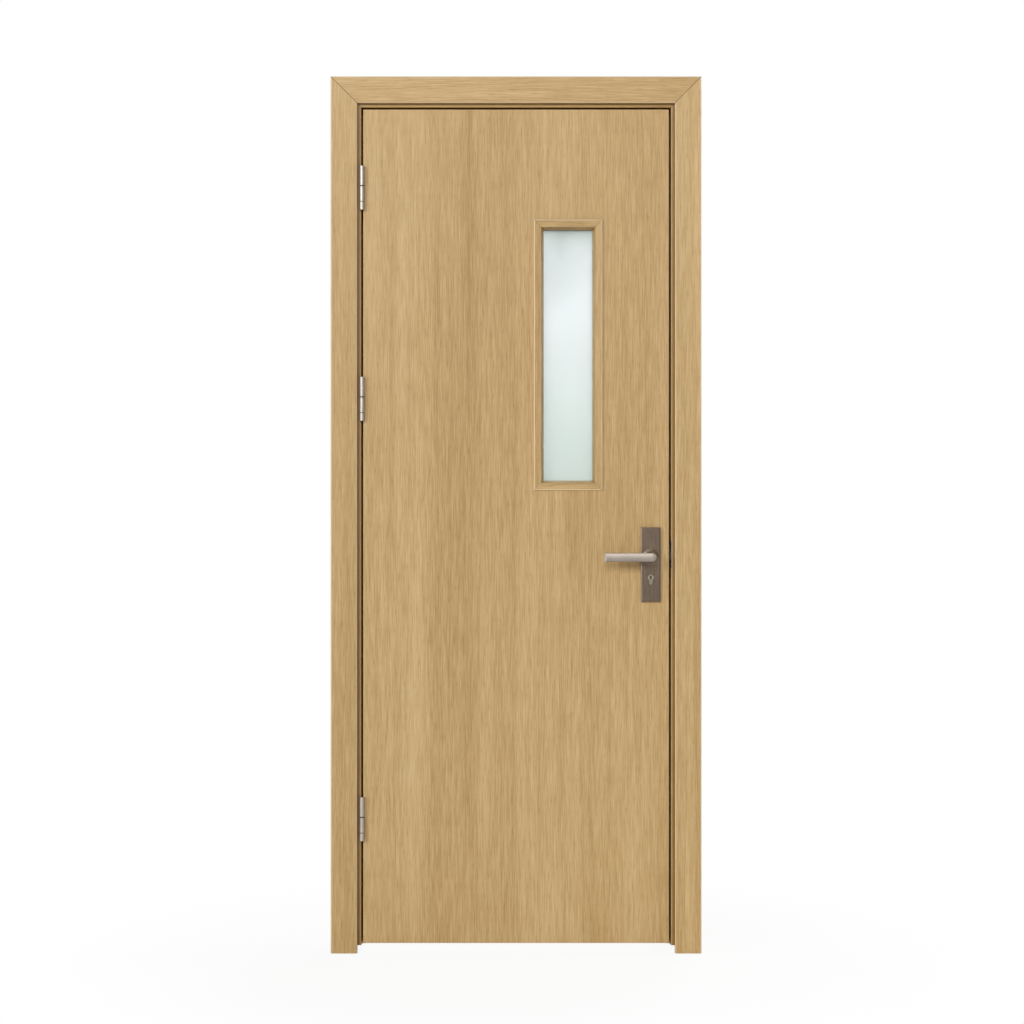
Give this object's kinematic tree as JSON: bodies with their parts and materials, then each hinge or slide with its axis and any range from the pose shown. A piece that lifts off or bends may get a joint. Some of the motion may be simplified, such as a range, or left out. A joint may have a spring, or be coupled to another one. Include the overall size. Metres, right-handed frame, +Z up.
{
  "type": "glazed door",
  "caption": "Flush oak-effect PVC door with a narrow glazed vision panel, lever handle on a plate and lift-off hinges, in a rebated lining with mitred architraves.",
  "frame": {"origin": "on the hinge jamb's wall face, in the middle of the lining's depth, one metre above the floor", "axes": "+X from the hinge side to the lock side, -Y out of the front where the leaf opens, +Z up"},
  "size_m": [0.906, 0.19, 2.142],
  "materials": {
    "oak_foil": "oak-effect embossed PVC foil over a composite board",
    "core_board": "plain board core",
    "satin_glass": "satin etched, faintly green",
    "seal_rubber": "black extruded seal",
    "washer_nylon": "dark bearing washer",
    "hinge_steel": "satin",
    "lock_steel": "satin",
    "lever_nickel": "satin nickel",
    "plate_bronze": "brushed dark bronze",
    "cylinder_nickel": "satin nickel"
  },
  "bodies": {
    "frame": {"hinge_jamb": "oak_foil", "head_jamb": "oak_foil", "lock_jamb": "oak_foil", "door_stops": "oak_foil", "front_architrave_hinge": "oak_foil", "front_architrave_head": "oak_foil", "front_architrave_lock": "oak_foil", "back_architrave_hinge": "oak_foil", "back_architrave_head": "oak_foil", "back_architrave_lock": "oak_foil", "frame_seal": "seal_rubber", "strike_plate": "lock_steel", "upper_hinge_frame_half": "hinge_steel", "middle_hinge_frame_half": "hinge_steel", "lower_hinge_frame_half": "hinge_steel", "hinge_washers": "washer_nylon"},
    "leaf": {"leaf_front_skin": "oak_foil", "leaf_back_skin": "oak_foil", "leaf_hinge_stile": "oak_foil", "leaf_lock_stile": "oak_foil", "leaf_top_rail": "oak_foil", "leaf_bottom_rail": "oak_foil", "leaf_core": "core_board", "glass_pane": "satin_glass", "front_bead_hinge_side": "oak_foil", "front_bead_top": "oak_foil", "front_bead_lock_side": "oak_foil", "front_bead_bottom": "oak_foil", "back_bead_hinge_side": "oak_foil", "back_bead_top": "oak_foil", "back_bead_lock_side": "oak_foil", "back_bead_bottom": "oak_foil", "front_glazing_gasket": "seal_rubber", "back_glazing_gasket": "seal_rubber", "upper_hinge_leaf_half": "hinge_steel", "middle_hinge_leaf_half": "hinge_steel", "lower_hinge_leaf_half": "hinge_steel", "mortise_lock": "lock_steel", "latch_bolt": "lock_steel", "dead_bolt": "lock_steel", "front_handle_plate": "plate_bronze", "back_handle_plate": "plate_bronze", "key_cylinder": "cylinder_nickel"},
    "lever_set": {"front_lever": "lever_nickel", "back_lever": "lever_nickel", "spindle": "lock_steel"},
    "plug": {"cylinder_plug": "cylinder_nickel"}
  },
  "joints": [
    {"name": "leaf_swing", "type": "hinge", "parent": "frame", "child": "leaf", "pos_m": [0.0345, -0.0685, 0], "axis": [0, 0, -1], "range_deg": [0, 170]},
    {"name": "lever_turn", "type": "hinge", "parent": "leaf", "child": "lever_set", "pos_m": [0.74, -0.0375, -0.032], "axis": [0, -1, 0], "range_deg": [0, 40], "stiffness_Nm_per_rad": 1.5, "springref_deg": -34.38},
    {"name": "plug_turn", "type": "hinge", "parent": "leaf", "child": "plug", "pos_m": [0.74, -0.071, -0.082], "axis": [0, -1, 0], "continuous": true}
  ]
}
